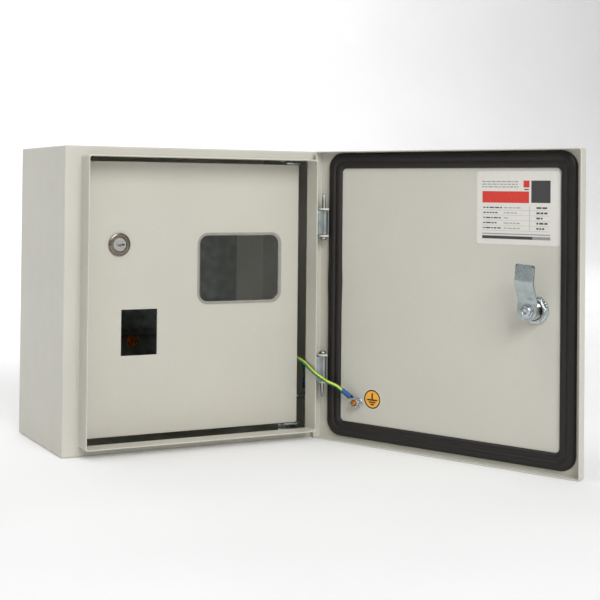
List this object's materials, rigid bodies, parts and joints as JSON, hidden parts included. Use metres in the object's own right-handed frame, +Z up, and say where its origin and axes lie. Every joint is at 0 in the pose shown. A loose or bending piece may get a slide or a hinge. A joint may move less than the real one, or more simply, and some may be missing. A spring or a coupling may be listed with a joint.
{
  "type": "subpanel enclosure",
  "caption": "Wall-mounted sheet-steel enclosure with a gasketed outer door, a lockable inner door with breaker slot and window, mounting plate and rail.",
  "frame": {"origin": "centre of the cabinet's back face, which lies against the wall", "axes": "+X to the right seen from the front, +Y into the wall, +Z up; the front faces -Y"},
  "size_m": [0.4197, 0.4205, 0.31],
  "materials": {
    "painted_steel": "satin light grey powder coat",
    "zinc_plated": "bright zinc",
    "steel_pin": "plain steel",
    "copper": "bare copper",
    "zinc_cast": "cast zinc, satin",
    "seal_rubber": "foamed seal, matt black-brown",
    "clear_plastic": "clear, slightly smoky",
    "green_wire": "green insulation with a yellow stripe",
    "blue_sleeve": "tinned lug with a blue plastic sleeve",
    "label_paper": "printed film",
    "orange_label": "printed film"
  },
  "bodies": {
    "cabinet": {"cabinet_shell": "painted_steel", "back_panel": "painted_steel", "hinge_knuckle_upper": "painted_steel", "hinge_knuckle_lower": "painted_steel", "inner_door_keeper": "painted_steel", "mounting_plate": "zinc_plated", "plate_stud_upper_left": "zinc_plated", "plate_stud_upper_right": "zinc_plated", "plate_stud_lower_left": "zinc_plated", "plate_stud_lower_right": "zinc_plated", "plate_nut_upper_left": "zinc_plated", "plate_nut_upper_right": "zinc_plated", "plate_nut_lower_left": "zinc_plated", "plate_nut_lower_right": "zinc_plated", "din_rail": "zinc_plated", "rail_bolt_left": "zinc_plated", "rail_bolt_right": "zinc_plated", "side_earth_stud": "zinc_plated", "side_earth_nut": "zinc_plated", "inner_pivot_bracket_upper": "zinc_plated", "inner_pivot_bracket_lower": "zinc_plated", "plate_earth_stud": "copper", "plate_earth_washer": "copper", "plate_earth_nut": "copper", "earth_wire": "green_wire", "wire_lug_body": "blue_sleeve"},
    "outer_door": {"outer_door_panel": "painted_steel", "door_gasket": "seal_rubber", "hinge_bracket_upper": "painted_steel", "hinge_bracket_lower": "painted_steel", "outer_lock_case": "zinc_cast", "outer_lock_nut": "zinc_cast", "door_earth_stud": "copper", "door_earth_washer": "zinc_plated", "door_earth_nut": "zinc_plated", "wire_lug_door": "blue_sleeve", "data_label": "label_paper", "earth_label": "orange_label"},
    "outer_cam": {"outer_lock_plug": "zinc_cast", "outer_lock_cam": "zinc_plated", "outer_cam_bolt": "zinc_plated"},
    "inner_door": {"inner_door_panel": "painted_steel", "inner_window": "clear_plastic", "inner_lock_case": "zinc_cast", "inner_lock_nut": "zinc_cast", "inner_pivot_pin_upper": "steel_pin", "inner_pivot_pin_lower": "steel_pin"},
    "inner_cam": {"inner_lock_plug": "zinc_cast", "inner_lock_cam": "zinc_plated", "inner_cam_screw": "zinc_plated"},
    "pin_upper": {"hinge_pin_upper": "steel_pin"},
    "pin_lower": {"hinge_pin_lower": "steel_pin"}
  },
  "joints": [
    {"name": "outer_door_swing", "type": "hinge", "parent": "cabinet", "child": "outer_door", "pos_m": [0.1385, -0.1583, 0], "axis": [0, 0, 1], "range_deg": [-114.7, 5.3], "deforming": ["earth_wire"]},
    {"name": "inner_door_swing", "type": "hinge", "parent": "cabinet", "child": "inner_door", "pos_m": [0.1155, -0.1275, 0], "axis": [0, 0, 1], "range_deg": [0, 88]},
    {"name": "outer_cam_turn", "type": "hinge", "parent": "outer_door", "child": "outer_cam", "pos_m": [0.23087, -0.37899, 0], "axis": [-0.9085, -0.4179, 0], "range_deg": [-86, 0]},
    {"name": "inner_cam_turn", "type": "hinge", "parent": "inner_door", "child": "inner_cam", "pos_m": [-0.0878, -0.12, 0.0554], "axis": [0, 1, 0], "range_deg": [-90, 0]},
    {"name": "hinge_pin_upper_turn", "type": "hinge", "parent": "outer_door", "child": "pin_upper", "pos_m": [0.1385, -0.1583, 0.0782], "axis": [0, 0, 1], "continuous": true},
    {"name": "hinge_pin_lower_turn", "type": "hinge", "parent": "outer_door", "child": "pin_lower", "pos_m": [0.1385, -0.1583, -0.0787], "axis": [0, 0, 1], "continuous": true}
  ]
}
